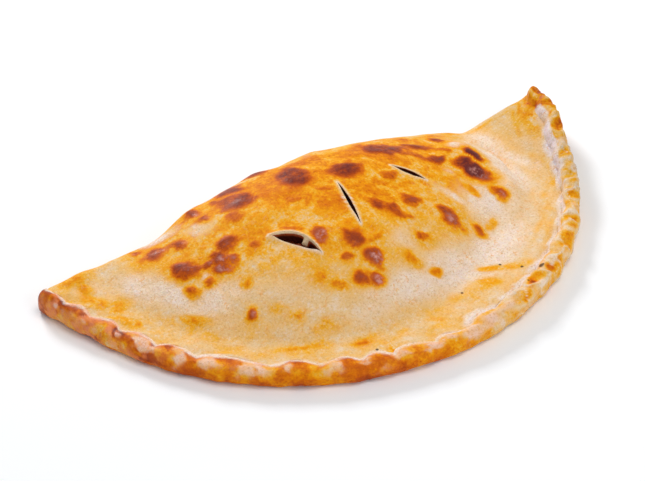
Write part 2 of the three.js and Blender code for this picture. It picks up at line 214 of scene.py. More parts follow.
def tipSwell(x, y):
    # how much thicker the dough is at the left tip, less the fall of both tips
    edge = crust["puff"] * leftShare(x) * (1 - smooth(foldDepth(x, y) / crust["foldFade"]))
    return edge + tipPuff(x, y) - tipFall(x)


def skinHeight(x, y):
    # a thin sheet with a quarter-round fold, plus the dome and its end ridge
    depth = foldDepth(x, y)
    edge = foldEdgeHeight(x)
    e = np.clip(1 - depth / crust["foldRound"], 0, 1)
    rise = crust["sheet"] - crust["foldLow"] + tipPuff(x, y)
    fade = (edge - crust["foldLow"]) * smooth(depth / crust["foldFade"])
    sheet = edge + rise * np.sqrt(1 - e * e) - fade
    return sheet + domeRise(x, y) + ridge(x, y) + lumpRise(x, y) - tipFall(x)


def wingRise(x):
    # the right wing curls up like a power of the distance past liftFrom
    share = np.clip((x - crust["liftFrom"]) / (crust["liftTo"] - crust["liftFrom"]), 0, 1.2)
    return crust["lift"] * share ** crust["liftPower"]


def walkOutline():
    # a half circle whose radius grows towards both tips, closed by the fold, at even steps, its tips rounded
    steps = 1400
    angle = np.linspace(0, np.pi, steps + 1)
    c = np.cos(angle)
    ease = np.where(c > 0, crust["leftEase"], crust["rightEase"])
    reach = np.where(c > 0, crust["leftReach"], crust["rightReach"])
    sharp = np.where(c > 0, crust["leftSharp"], crust["rightSharp"])
    radius = crust["shoulder"] + ease * c * c + reach * np.abs(c) ** sharp
    depth = radius * np.sin(angle) * (1 + crust["foldLine"] / crust["shoulder"])
    front = np.stack([-radius * c, crust["foldLine"] - depth], axis=1)
    x = front[-1, 0] + (front[0, 0] - front[-1, 0]) * np.arange(1, steps) / steps
    raw = np.concatenate([front, np.stack([x, foldEdgeY(x)], axis=1)])
    closed = np.concatenate([raw, raw[:1]])
    lengths = np.concatenate([[0.0], np.cumsum(np.linalg.norm(np.diff(closed, axis=0), axis=1))])
    count = int(round(lengths[-1] / crust["planStep"]))
    s = lengths[-1] * np.arange(count) / count
    even = np.stack([np.interp(s, lengths, closed[:, 0]), np.interp(s, lengths, closed[:, 1])], axis=1)
    spacing = lengths[-1] / count
    reach = int(np.ceil(3 * crust["tipRounding"] / spacing))
    offsets = np.arange(-reach, reach + 1)
    weights = np.exp(-0.5 * (offsets * spacing / crust["tipRounding"]) ** 2)
    weights /= weights.sum()
    rounded = sum(weight * np.roll(even, -offset, axis=0) for weight, offset in zip(weights, offsets))
    return rounded, lengths[-1], lengths[steps]


outline, perimeter, frontLength = walkOutline()


def outlineAt(s):
    # point and outward direction at a distance from the left tip, along the front and back along the fold
    count = len(outline)
    place = (s / perimeter * count) % count
    i = np.floor(place).astype(int) % count
    f = (place - np.floor(place))[..., None]
    point = outline[i] * (1 - f) + outline[(i + 1) % count] * f
    run = outline[(i + 3) % count] - outline[(i - 2) % count]
    return point, unit(np.stack([run[..., 1], -run[..., 0]], axis=-1))


def rimPlace(s):
    # the same, with the direction turned away from the skin's centre near the two tips
    point, out = outlineAt(s)
    away = unit(point - np.array(crust["centre"]))
    share = smooth(1 - np.minimum(s, frontLength - s) / crust["tipZone"])[..., None]
    return point, unit(out + (away - out) * share)


def sided(key, right):
    # a size that changes from the left of the rim to its right
    left, far = crust[key]
    return left + (far - left) * right


def crimpColumns(s):
    # for every place along the outline: how full the crimp's roll is, the way to its middle and its side
    marks = np.array([0, *crust["notches"], frontLength])
    number = np.clip(np.searchsorted(marks, s, side="right") - 1, 0, len(marks) - 2)
    length = (marks[1:] - marks[:-1])[number]
    phase = np.clip((s - marks[number]) / length, 0, 1)
    skew = 1 + crust["skewSwing"] * np.cos((number - 2) * 2 * np.pi / crust["skewPeriod"])
    run = np.where(s > (frontLength + perimeter) / 2, s - perimeter, s)
    ramp, wrap = crust["crimpRamp"], crust["crimpWrap"]
    right = smooth((run - crust["rightFrom"]) / (crust["rightTo"] - crust["rightFrom"]))
    crimp = smooth((run + wrap) / ramp) * smooth((frontLength + wrap - run) / ramp)
    calm = 1 - crust["tipCalm"] * bell(run / crust["calmReach"])
    return SimpleNamespace(
        s=s, run=run, number=number, phase=phase, offMiddle=(phase - 0.5) * length, crimp=crimp, right=right,
        bump=np.sin(np.pi * phase ** skew) * calm, slant=sided("slant", right) * crimp)


def tuckAt(s, x):
    # how far the fold is rounded in at its foot, less towards the tips
    away = np.minimum(np.minimum(np.abs(s), np.abs(frontLength - s)), perimeter - s)
    share = crust["tipUnderside"] + (1 - crust["tipUnderside"]) * smooth(away / crust["tipZone"])
    return (crust["underside"] + crust["undersideShare"] * foldEdgeHeight(x)) * share


def rimPoint(column, share):
    # a squarish roll from the groove over the top to the foot with a thumb pit in every crimp;
    # along the fold a quarter-round instead
    bump, crimp, right = column.bump, column.crimp, column.right
    rolled, rolledOut = rimPlace(column.run + column.slant * (share - crust["slantPivot"]))
    plain, plainOut = outlineAt(column.s)
    onRim = smooth(crimp / 0.3)[..., None]
    point = plain + (rolled - plain) * onRim
    out = plainOut + (rolledOut - plainOut) * onRim
    width = sided("rollWidth", right) - sided("notchNarrow", right) * (1 - bump)
    for place, reach, amount in crust["narrowings"]:
        width = width - amount * bell((column.run - place) / reach)
    half = (sided("rollHeight", right) - sided("notchDrop", right) * (1 - bump)) / 2
    start = (crust["sheet"] - crust["innerDrop"] - half) / half
    first = np.pi - np.arcsin(np.clip(signedPower(start, crust["squareness"] / 2), -1, 1))
    angle = first + (-np.pi / 2 - first) * share
    across, upward = np.cos(angle), np.sin(angle)
    pit = bell((share - sided("pitPlace", right)) / crust["pitHeight"])
    pit = pit * bell(column.offMiddle / crust["pitLength"]) * sided("pitDepth", right)
    pull = sided("notchPull", right) * (1 - bump) * np.clip(across, 0, None)
    roll = -width / 2 + width / 2 * signedPower(across, 2 / crust["squareness"]) - pull - pit * across
    rollZ = half + half * signedPower(upward, 2 / crust["squareness"]) - pit * upward
    quarter = share * np.pi / 2
    under = -tuckAt(column.s, point[..., 0]) * (1 - np.cos(quarter))
    underZ = skinHeight(point[..., 0], point[..., 1]) * (1 - np.sin(quarter))
    for place, reach, amount in crust["bulges"]:
        roll = roll + amount * bell((column.run - place) / reach)
    place = point + out * (roll * crimp + under * (1 - crimp))[..., None]
    rollZ = rollZ * (1 + tipSwell(place[..., 0], place[..., 1]) / crust["sheet"])
    z = rollZ * crimp + underZ * (1 - crimp)
    return np.concatenate([place, z[..., None]], axis=-1)


# slits: ends, lengths and turns as in the CAD node, the last two with widths of their own
slits = [
    {"end": (-47.2, -48.3), "length": 25.5, "turn": -53.8, "far": 4.7, "near": 1.0,
     "farLip": 1.5, "nearLip": 0.5, "pale": (1.6, 1.2), "flap": 2.4, "top": 1.1},
    {"end": (-2.6, -36.5), "length": 27.2, "turn": -100.4, "far": 1.15, "near": 0.8,
     "farLip": 0.4, "nearLip": 0.5, "pale": (0.5, 0.5), "flap": 0.0, "top": 0.5},
    {"end": (29.1, -33.3), "length": 17.6, "turn": -46.1, "far": 2.4, "near": 1.35,
     "farLip": 0.4, "nearLip": 0.5, "pale": (0.5, 0.5), "flap": 0.0, "top": 0.5},
]


def slitEdges(x, y, slit):
    # distance outside the far and the near edge, and how far along the slit the point is
    along, across = turned(x - slit["end"][0], y - slit["end"][1], slit["turn"])
    along = along / slit["length"]
    gape = np.sin(np.pi * np.clip(along, 0, 1))
    past = np.clip(np.maximum(-along, along - 1), 0, None) * slit["length"]
    far = np.hypot(across - slit["far"] * gape, past)
    near = np.hypot(across + slit["near"] * gape, past)
    return far, near, along


# brown blisters
# where, long, wide, turn of the long way in degrees, heat (0.55 faint, 1 nearly black), rise in mm, gloss,
# which also places a painted glint
blisters = [
    (-17, -21, 19, 13.5, -78, 0.96, 0.7, 0.2), (7, -29, 18, 11, -8, 0.94, 0.6, 0.2),
    (-42, -8, 12, 9, -35, 0.91, 0.5, 0.1), (-27, -4, 12, 8, -20, 0.91, 0.4, 0.1),
    (-46, -20, 17, 13, -40, 0.92, 0.7, 0.2), (-53, -29, 12, 8, -30, 0.72, 0.3, 0),
    (-63, -9.5, 9, 6, -80, 0.89, 0.6, 0.2), (-52, -11.5, 6.5, 5, -60, 0.84, 0.4, 0.1),
    (-62, -18, 5.5, 4.5, -60, 0.86, 0.4, 0.1), (-94, -9.5, 6.5, 5, -45, 0.86, 0.4, 0.1),
    (-88, -17.5, 11, 7.5, -10, 0.87, 0.6, 0.2), (-79, -21.5, 12, 5.5, -62, 0.86, 0.5, 0.2),
    (-83.5, -36, 12.5, 8, -60, 0.93, 0.9, 0.5), (-80.5, -40, 7, 4, -20, 0.84, 0.4, 0.3),
    (-87, -47.5, 7, 5, -70, 0.81, 0.5, 0.2), (-79, -50.5, 5, 4, -20, 0.76, 0.4, 0.1),
    (-69.5, -45.5, 13.5, 10, -75, 0.94, 1, 1), (-75, -42.5, 7, 4, -20, 0.84, 0.5, 0.5),
    (-63, -39.5, 10.5, 8.5, -60, 0.88, 0.6, 0.4), (-54, -48, 5, 4, -30, 0.74, 0.4, 0.1),
    (-28.5, -60, 10, 9, -40, 0.86, 0.8, 0.9), (-38, -50, 14, 4, -42, 0.7, 0.2, 0),
    (-72, -74.5, 5, 4.5, -35, 0.84, 0.7, 0.6), (-56, -86, 5, 4, -30, 0.6, 0.3, 0.1),
    (-38, -77.5, 6, 5.5, -28, 0.64, 0.3, 0.1), (-32, -84, 6, 5, -40, 0.62, 0.3, 0.1),
    (-67, -61.5, 5, 4, -40, 0.55, 0.2, 0), (-94.5, -58, 12, 3.5, -43, 0.56, 0.2, 0),
    (-15, -68, 11, 9.5, -15, 0.87, 0.7, 0.3), (-6, -71, 10, 4, 12, 0.64, 0.3, 0.1),
    (-22.5, -75, 7, 4, -20, 0.8, 0.4, 0.2), (-11.5, -80, 9, 8, -40, 0.87, 1, 1),
    (-22, -85, 6.5, 5.5, -25, 0.83, 0.6, 0.3), (-16.5, -87.5, 6.5, 6, -50, 0.83, 0.9, 1),
    (6, -55.5, 10, 7, -45, 0.86, 0.5, 0.2), (13, -61.5, 15, 6, -44, 0.84, 0.5, 0.3),
    (25, -57, 10.5, 8.5, -10, 0.87, 0.7, 0.3), (38.5, -68, 12, 9.5, -88, 0.92, 1, 1),
    (17, -77, 7, 5, -8, 0.8, 0.6, 0.2), (49.5, -77, 7, 4.5, -85, 0.76, 0.5, 0.4),
    (58, -75, 8, 3.5, 35, 0.5, 0.2, 0.1), (73, -60.5, 8.5, 5.5, -92, 0.82, 0.8, 0.6),
    (70.5, -43, 16, 10.5, -66, 1.16, 1, 1), (78, -33.5, 11, 6, -70, 1.1, 0.7, 0.3),
    (57, -31.5, 11, 6.5, -10, 0.93, 0.6, 0.3), (66, -25, 14, 5, -30, 0.74, 0.3, 0.1),
    (25, -39.5, 11, 7.5, -8, 0.87, 0.5, 0.2), (37, -18.5, 24, 12, -6, 0.97, 0.6, 0.2),
    (53, -18.5, 16, 7, -12, 0.87, 0.4, 0.1), (68.5, -15, 9, 6, -30, 0.89, 0.4, 0.1),
    (5, -85, 8, 6, -50, 0.6, 0.3, 0.1), (13.5, -92.5, 6, 4, -12, 0.55, 0.3, 0.1),
    (-9, -38, 8, 4, -10, 0.72, 0.2, 0), (-27, -37.5, 13, 4, 2, 0.66, 0.2, 0),
    (122.5, -17.5, 7, 4, -60, 0.56, 0.3, 0), (-114.5, -31, 6, 5.5, -30, 0.5, 0.2, 0),
    (-38, -110.5, 7, 2.5, -20, 0.62, 0.2, 0), (-29, -120, 3, 2.5, 20, 0.66, 0.2, 0),
    (46, -25.5, 22, 6.5, -33, 0.77, 0.2, 0), (-62, -98, 12, 2, -30, 0.55, 0.1, 0),
    (61, -54, 8, 4, -70, 0.5, 0.1, 0), (-124.5, -8.5, 11, 6, -20, 0.52, 0.3, 0),
    (-122.5, -15.5, 6, 4.5, -60, 0.48, 0.3, 0), (-122.5, -24, 9, 6, -50, 0.5, 0.3, 0),
    (-118, -42, 8, 4, -60, 0.45, 0.2, 0), (40, -98, 10, 3, -20, 0.42, 0.1, 0),
    (50, -102.5, 12, 2.5, -15, 0.4, 0.1, 0), (-61, -79.5, 7, 3.5, -30, 0.36, 0.2, 0),
    (-47, -95, 8, 4, -20, 0.42, 0.1, 0), (33, -106, 10, 5, -10, 0.44, 0.2, 0),
]


def blisterFields(points):
    # each blister is a flat-topped hump in a wobbly ellipse with a faint halo, and the hottest one counts
    coarse = np.stack([lattice(points, 7.0, 11), lattice(points, 7.0, 12)], axis=-1)
    wobble = np.stack([lattice(points, 3.2, 13), lattice(points, 3.2, 14)], axis=-1)
    frayed = lattice(points, 1.8, 23)
    heat, rise, gloss = np.zeros((3, *points.shape[:-1]))
    for x, y, long, wide, turn, hot, high, glossAndGlintAmount in blisters:
        shift = 0.17 * min(long, 13.0) * coarse + 0.13 * min(wide, 8.0) * wobble
        along, across = turned(points[..., 0] + shift[..., 0] - x, points[..., 1] + shift[..., 1] - y, turn)
        far = np.hypot(along / (long / 2), across / (wide / 2)) + 0.08 * frayed
        inner = np.clip(far, 0, None)
        core = 1 / (1 + (inner / 1.27) ** 4.2)
        heat = np.maximum(heat, hot * np.maximum(core, 0.58 * bell(far / 1.75)))
        rise = np.maximum(rise, high * np.exp(-(inner / 0.95) ** 2.6))
        # the gloss spot lies towards one end of the blister; it sets the coat and where the painted pink
        # highlight goes
        shine = np.hypot((along - 0.2 * long) / (0.36 * long), across / (0.36 * wide))
        gloss = np.maximum(gloss, glossAndGlintAmount * bell(shine) * core)
    return heat, rise, gloss


# crust, its own detail
detail = {
    "columnsPerCrimp": 20, "foldColumns": 140, "domeRings": 92, "edgeRings": 4, "rimRings": 34,
    "baseRings": 5, "baseSpan": 0.36, "topCentre": (12.0, -52.0), "foldInset": 1.5,
    "uneven": ((0.6, 26.0, 1), (0.36, 9.0, 2), (0.16, 3.4, 3)), "pleat": 0.35, "pleatReach": 6.0,
    "lipRise": 0.3, "lipPlace": 0.05, "lipWidth": 0.045, "warmFrom": 175.0, "warmTo": 242.0,
    "lumps": 0.5, "lumpCell": 5.5, "foldRise": 0.55, "foldSpacing": 15.0,
    "rimLength": 24.0, "pitRadius": 3.0, "pitRim": 0.5, "wrinkles": 0.55,
    "creaseDepth": 1.5, "creaseWidth": 1.3, "creaseFrom": -15.0, "creaseTo": -52.0, "slitLipWidth": 1.5,
    "leftTip": (-143.0, -2.0), "rightTip": (138.0, -8.0), "wingFrom": 98.0, "wingTo": 112.0,
    "goldCentre": (-4.0, -24.0), "goldReach": (84.0, 50.0),
    "whiteFrom": 215.0, "whiteTo": 412.0, "whiteWide": 345.0,
}
# pale patches on the wall of the rim: way along it, share down it, length, height, amount, blush
pressed = [
    (63, 0.24, 14, 7, 0.95, 0.3), (80, 0.28, 6.5, 9, 0.9, 0.15), (95, 0.26, 11, 6, 0.9, 0.15),
    (115, 0.27, 14, 8, 1.0, 0.3), (132, 0.22, 7, 4, 0.7, 0.2), (151, 0.26, 7, 7, 0.85, 0.3),
    (166, 0.17, 6, 3, 0.8, 0.5), (182.5, 0.25, 8, 5, 1.0, 0.4), (198.5, 0.22, 8, 5, 1.0, 0.45),
    (207, 0.2, 8, 3, 0.85, 0.45), (219, 0.33, 11, 8, 1.0, 0.15), (229, 0.34, 9, 8, 0.9, 0.1),
    (24, 0.5, 30, 9, 0.25, 0.5), (44, 0.55, 24, 8, 0.25, 0.45), (4, 0.35, 9, 10, 0.25, 0.8),
    (240, 0.30, 14, 4, 0.6, 0.0), (172, 0.5, 8, 5, 0.3, 0.1),
]
# pink knobs on the wall near the left tip: way along the rim, share down it, radius
nodules = [(13.5, 0.4, 1.9), (31.0, 0.38, 1.9), (49.5, 0.27, 2.0)]
# black specks of burnt flour: where and radius
specks = [
    (58.7, -111.6, 1.2), (45.2, -98.5, 0.7), (52.7, -105.1, 0.75), (46.6, -117.3, 0.7), (18.4, -106.0, 0.6),
    (-35.1, -116.9, 0.7),
]
tipFold = [(128.5, -10.5), (131.0, -17.0), (135.0, -27.0)]
crease = [(91.5, -16.0), (92.7, -22.0), (94.3, -27.0), (94.6, -33.0), (93.8, -40.0), (91.0, -50.0)]
# pale floury patches on the top, their lilac partly a painted sheen: where, long, wide, turn, amount
floury = [
    (-92, -44, 46, 16, -66, 1.0), (-84, -56, 30, 14, -50, 0.85), (-103, -30, 34, 14, -68, 0.7),
    (-118, -18, 22, 12, -60, 0.5), (-3, -95, 40, 15, -6, 0.95), (24, -94, 50, 20, 4, 1.0),
    (52, -88, 50, 24, 28, 1.1), (8, -76, 18, 12, -20, 0.6), (68, -62, 36, 26, 50, 1.15),
    (88, -46, 40, 20, -84, 1.05), (95, -20, 30, 16, -80, 0.8), (-66, -22, 18, 13, -20, 0.8),
    (-78.5, -45.5, 11, 7, -60, 0.9), (-72, -60, 24, 12, -40, 0.8), (-80, -34, 10, 5, -20, 0.7),
    (-82, -8, 24, 10, -20, 0.75), (59, -40.5, 8, 7, -60, 0.6), (49, -56.5, 24, 7, -55, 0.7),
    (74, -22.5, 22, 9, -72, 0.95), (-3, -6, 40, 5, -8, 0.2), (-60, -72, 44, 20, -35, 0.35),
    (112, -38, 46, 22, -65, 0.38), (100, -38, 40, 13, -72, 0.62), (80, -76, 40, 18, 50, 0.5),
    (-20, -98, 40, 12, 4, 0.5),
]
# places where the gold is paler: where, long, wide, turn, how much cooler
milder = [
    (-33, -46, 28, 9, -40, 0.11), (-3, -8, 44, 8, -8, 0.05), (4, -66, 22, 9, -40, 0.18),
    (37, -54, 12, 7, -40, 0.15), (-48, -38, 26, 12, -40, 0.13), (-20, -52, 24, 8, -50, 0.14),
    (-52, -24, 16, 8, -40, 0.12), (14, -45, 16, 7, -35, 0.05), (28, -47, 14, 6, -35, 0.04),
    (52, -33, 14, 5, -40, 0.1), (-8, -20, 14, 6, -30, 0.04), (20, -70, 12, 8, -30, 0.12),
]


def closedGrid(name, rings, first, last, fields):
    # rings that run round once each, joined to one closed mesh by a point at both ends, with a value
    # per corner; an end point has the mean value of the ring beside it
    count = rings.shape[1]
    verts = np.concatenate([first[None], rings.reshape(-1, 3), last[None]])
    i = np.arange(count)
    j = (i + 1) % count
    end = len(verts) - 1
    foot = 1 + (rings.shape[0] - 1) * count
    caps = [np.stack([0 * i, 1 + i, 1 + j], 1), np.stack([end + 0 * i, foot + j, foot + i], 1)]
    caps = np.concatenate(caps)
    a = 1 + np.arange(rings.shape[0] - 1)[:, None] * count
    quads = np.stack([a + i, a + count + i, a + count + j, a + j], axis=-1).reshape(-1, 4)
    mesh = bpy.data.meshes.new(name)
    mesh.from_pydata(toFrame(verts), [], caps.tolist() + quads.tolist())
    mesh.validate()
    corners = np.concatenate([caps.ravel(), quads.ravel()])
    for key, values in fields.items():
        whole = np.concatenate([[values[0].mean()], values.ravel(), [values[-1].mean()]])
        attribute = mesh.attributes.new(key, "FLOAT", "CORNER")
        attribute.data.foreach_set("value", whole[corners].astype(np.float32))
    thing = bpy.data.objects.new(name, mesh)
    bpy.context.collection.objects.link(thing)
    return thing


def gridNormals(rings):
    # the cross product of the steps along and across the rings
    along = np.roll(rings, -1, axis=1) - np.roll(rings, 1, axis=1)
    normals = np.cross(np.gradient(rings, axis=0), along)
    return normals / np.clip(np.linalg.norm(normals, axis=-1, keepdims=True), 1e-9, None)


def steps(count):
    return np.arange(1, count + 1) / count


def largest(*layers):
    # the largest value at every point
    total = layers[0]
    for layer in layers[1:]:
        total = np.maximum(total, layer)
    return total


def patchShare(points, x, y, long, wide, turn):
    # distance from the middle of an ellipse, 1 on its edge
    along, across = turned(points[..., 0] - x, points[..., 1] - y, turn)
    return np.hypot(along / (long / 2), across / (wide / 2))


def lineDistance(points, line):
    # shortest distance in plan to a line of straight pieces
    line = np.array(line)
    best = np.full(points.shape[:-1], 1e9)
    for a, b in zip(line[:-1], line[1:]):
        run = b - a
        share = np.clip(((points[..., :2] - a) @ run) / (run @ run), 0, 1)
        best = np.minimum(best, np.linalg.norm(points[..., :2] - a - share[..., None] * run, axis=-1))
    return best


def slitLips(x, y):
    # how much the dough curls up beside the slits, and how near a cut edge the point is
    rise = np.zeros(x.shape)
    edge = np.full(x.shape, 1e9)
    for slit in slits:
        far, near, along = slitEdges(x, y, slit)
        window = smooth((along + 0.12) / 0.3) * smooth((1.12 - along) / 0.3)
        width = detail["slitLipWidth"]
        rise += window * (slit["farLip"] * bell(far / (1.6 * width)) + slit["nearLip"] * bell(near / width))
        edge = np.minimum(edge, np.minimum(far, near))
    return rise, edge


def crustRings():
    # rings from a point on top over the rim to the middle of the underside, and where their points are
    marks = np.array([0, *crust["notches"], frontLength])
    front = np.linspace(marks[:-1], marks[1:], detail["columnsPerCrimp"], endpoint=False).T.ravel()
    back = frontLength + (perimeter - frontLength) * np.arange(detail["foldColumns"]) / detail["foldColumns"]
    s = np.concatenate([front, back])
    at = crimpColumns(s)

    # flat top rings: towards a smooth guide line inside the groove, then to the groove itself
    guide, _ = outlineAt(at.run - at.slant * crust["slantPivot"])
    centre, top = np.array(crust["centre"]), np.array(detail["topCentre"])
    away = guide - centre
    inset = detail["foldInset"] + (crust["guideInset"] - detail["foldInset"]) * at.crimp
    guide = centre + away * (1 - inset / np.linalg.norm(away, axis=-1))[:, None]
    share = steps(detail["domeRings"])
    v = 0.5 * share + 0.5 * np.sin(share * np.pi / 2)
    groove = rimPoint(at, 0.0)[:, :2]
    between = 1 - (1 - steps(detail["edgeRings"])) ** 1.6
    inner = top + (guide - top) * v[:, None, None]
    plan = np.concatenate([inner, guide + (groove - guide) * between[:, None, None]])
    z = skinHeight(plan[..., 0], plan[..., 1])
    z[detail["domeRings"]:] -= sided("groove", at.right) * at.crimp * between[:, None] ** 2
    skin = np.concatenate([plan, z[..., None]], axis=-1)

    # the rolled rim, and the underside inwards from its foot
    down = steps(detail["rimRings"])
    rim = np.stack([rimPoint(at, part) for part in down])
    inward = 1 - detail["baseSpan"] * steps(detail["baseRings"])
    base = np.zeros((len(inward), len(s), 3))
    base[..., :2] = centre + (rim[-1, :, :2] - centre) * inward[:, None, None]

    rings = np.concatenate([skin, rim, base])
    kind = np.repeat([0, 1, 2], [len(skin), len(rim), len(base)])[:, None]
    at.rings, at.x, at.y = rings, rings[..., 0], rings[..., 1]
    at.rough = lambda cell, seed: lattice(rings, cell, seed)
    at.shares = np.concatenate([np.zeros(len(skin)), down, np.ones(len(base))])[:, None]
    at.toRim = np.zeros(at.x.shape)
    at.toRim[:len(skin)] = np.linalg.norm(plan - groove, axis=-1)
    at.isTop = kind == 0
    at.topOnly, at.onRim, at.notBase = at.isTop * 1.0, (kind == 1) * at.crimp, (kind < 2) * 1.0
    return at


def markRings(at):
    # what both the relief and the colours need: lip, crease, cut edges, tips, margin and wing, then the
    # rim's wrinkles, its crests and its pits, every pit a little off its place
    rough, run, shares, onRim, right = at.rough, at.run, at.shares, at.onRim, at.right
    at.lips, cutEdge = slitLips(at.x, at.y)
    at.nearCut = bell(np.where(at.isTop, cutEdge, 1e9))
    at.lip = bell((shares - detail["lipPlace"]) / detail["lipWidth"]) * onRim * (1 - right)
    at.creased = lineDistance(at.rings, crease)
    at.nearTip = np.hypot(at.x - detail["leftTip"][0], at.y - detail["leftTip"][1])
    at.tipBand = bell(lineDistance(at.rings, tipFold) / 2.0) * at.notBase
    at.margin = bell((at.toRim - 9) / 12) * at.topOnly
    at.wing = smooth((at.x - detail["wingFrom"]) / (detail["wingTo"] - detail["wingFrom"]))
    at.crumbly = smooth(0.75 + 1.1 * rough(8.0, 6))
    bent = at.rings * np.array([1.0, 1.0, 0.5]) + 2.0 * rough(6.0, 28)[..., None]
    at.wrinkles = (1 - np.abs(lattice(bent, 3.6, 29))) ** 3 - 0.4
    at.swirl = np.abs(lattice(at.rings + 2.6 * rough(7.0, 46)[..., None], 6.5, 47))
    at.crest = bell(at.swirl / 0.1) * onRim * right * smooth((0.85 - shares) / 0.2) * smooth((382 - run) / 10)
    dice = np.random.default_rng(41).uniform(-1.0, 1.0, (len(crust["notches"]) + 1, 4))[at.number]
    at.pitAlong = at.offMiddle - 2.2 * dice[:, 0] + 3.2 * rough(6.0, 25)
    lower = shares - sided("pitPlace", right) - 0.08 * dice[:, 1]
    at.pitAcross = lower * detail["rimLength"] + 2.6 * rough(5.0, 26)
    at.pitFar = np.hypot(at.pitAlong * (0.8 + 0.3 * dice[:, 2]), at.pitAcross) + 0.9 * rough(2.6, 15)
    at.pitDeep = 1 + dice[:, 3]


def markWall(at):
    # pale patches torn at their edges, rosy dough towards the left tip and small knobs with a faint ring
    rough, run, shares, onRim = at.rough, at.run, at.shares, at.onRim
    at.mottle = smooth((rough(4.4, 41) + 0.45 * rough(1.9, 42) - 0.05) / 0.2)
    at.rosy = (1 - smooth((run - 45) / 45)) * onRim * (1 - 0.75 * at.mottle)
    pale, blush, knobs, around = np.zeros((4, *at.x.shape))
    torn = 1.8 * rough(4.5, 18) + 1.8 * rough(2.0, 27)
    broken = smooth(1.0 + 1.2 * rough(3.2, 33))
    for way, place, length, height, amount, pink in pressed:
        far = np.hypot((run - way + torn) / (length / 2),
                       ((shares - place - 0.03) * detail["rimLength"] - 0.7 * torn) / (height / 1.7))
        spot = np.clip(1.2 * amount * broken / (1 + far ** 5), 0, 1) * onRim
        blush = np.where(spot > pale, max(pink, 0.35) * spot, blush)
        pale = np.maximum(pale, spot)
    frayed = 0.3 * rough(1.8, 44)
    for way, place, radius in nodules:
        far = np.hypot(run - way, (shares - place) * detail["rimLength"]) / (0.8 * radius)
        around += 0.1 * bell((far - 1.9) / 0.7) * onRim
        knobs = np.maximum(knobs, bell(far + frayed) * onRim)
    blush = np.maximum(blush, 0.65 * at.rosy * smooth(0.7 + 1.3 * rough(3.0, 36)))
    at.wallRise = 0.3 * pale * (blush > 0.2) + 0.7 * pale * (blush > 0.6) + 0.7 * knobs
    at.pale, at.knobs, at.around, at.blush = pale, knobs, around, np.maximum(blush, 0.5 * knobs)


def crustRelief(at, risen, gloss):
    # unevenness all over, gentler on the rim and none underneath, with blisters, slit lips, crease and
    # pleats; on the rim a thin lip at its top, lumps, wrinkles, and on the right pits and oblique folds
    rough, shares, onRim, right, topOnly = at.rough, at.shares, at.onRim, at.right, at.topOnly
    flat = at.rings * np.array([1.0, 1.0, 0.6])
    relief = sum(amount * lattice(flat, cell, seed) for amount, cell, seed in detail["uneven"])
    relief *= np.where(at.isTop, smooth(at.toRim / 14) * 0.8 + 0.2, 0.35)
    relief += risen + risen * 0.4 * rough(2.6, 4) * (0.4 + gloss) + at.lips * topOnly
    creaseFade = smooth((detail["creaseFrom"] - at.y) / 9) * smooth((at.y - detail["creaseTo"]) / 14)
    creaseFade = creaseFade * topOnly
    valley = bell(at.creased / detail["creaseWidth"]) - 0.4 * bell((at.creased - 3.0) / 2.0)
    relief -= detail["creaseDepth"] * valley * creaseFade
    pleats = np.cos(2 * np.pi * at.phase) * bell(at.toRim / detail["pleatReach"])
    relief += (0.8 * bell(at.toRim / 1.6) * right - detail["pleat"] * pleats) * at.crimp * topOnly
    relief += detail["lipRise"] * at.lip + detail["lumps"] * rough(detail["lumpCell"], 5) * onRim
    relief += detail["wrinkles"] * at.wrinkles * onRim * (0.35 + 0.65 * right)
    relief += 0.28 * at.crest - 0.15 * bell((at.swirl - 0.3) / 0.12) * onRim * right
    oblique = (at.offMiddle + shares * 11.0 + 2.5 * rough(9.0, 8)) / detail["foldSpacing"]
    folds = (np.abs(np.cos(oblique * 2 * np.pi)) ** 0.7 - 0.5) * smooth((0.8 - shares) / 0.3)
    pits = bell((at.pitFar - 1.7 * detail["pitRadius"]) / 1.5) - 0.35 * at.pitDeep * bell(at.pitFar / 2.6)
    relief += (detail["foldRise"] * folds + detail["pitRim"] * pits) * onRim * right
    relief -= 1.6 * bell(at.nearTip / 5.0) * (1 - smooth((shares - 0.2) / 0.4))
    farTip = np.hypot(at.x - detail["rightTip"][0], at.y - detail["rightTip"][1])
    relief *= 1 - 0.6 * onRim * bell(farTip / 22)
    relief *= at.notBase * np.where(at.isTop, 1.0, smooth((1 - shares) / 0.12))
    return relief + at.wallRise


def topHeat(at):
    # golden in a wide ellipse by the fold, milder in patches, and a warm margin with flecks and streaks
    rough, x, y, toRim = at.rough, at.x, at.y, at.toRim
    (goldX, goldY), (reachX, reachY) = detail["goldCentre"], detail["goldReach"]
    gold = smooth(1.45 - np.hypot((x - goldX) / reachX, (y - goldY) / reachY))
    gold *= 0.25 + 0.75 * smooth((-y - 3 + 5 * rough(9.0, 30)) / 12)
    heat = 0.13 + 0.435 * gold + 0.14 * at.margin
    for *patch, amount in milder:
        heat -= amount * gold * bell(patchShare(at.rings, *patch))
    drawn = np.stack([at.run * 0.2 + 0 * toRim, toRim, 0 * toRim], axis=-1)
    heat += at.margin * (0.08 * rough(4.5, 50) + 0.06 * rough(2.3, 51) + 0.14 * lattice(drawn, 2.8, 54))
    foldEnds = smooth((x - 100) / 15) + smooth((-x - 72) / 15)
    edge = 0.16 * bell(toRim / 1.6) * smooth(0.5 + 1.5 * rough(9.0, 55))
    edge += 0.24 * foldEnds * bell(toRim / 2.2) * smooth(0.8 + rough(5.0, 35))
    heat += edge * (1 - at.crimp)
    return heat + 0.09 * bell(np.hypot((x - 112) / 26, (y + 24) / 18))


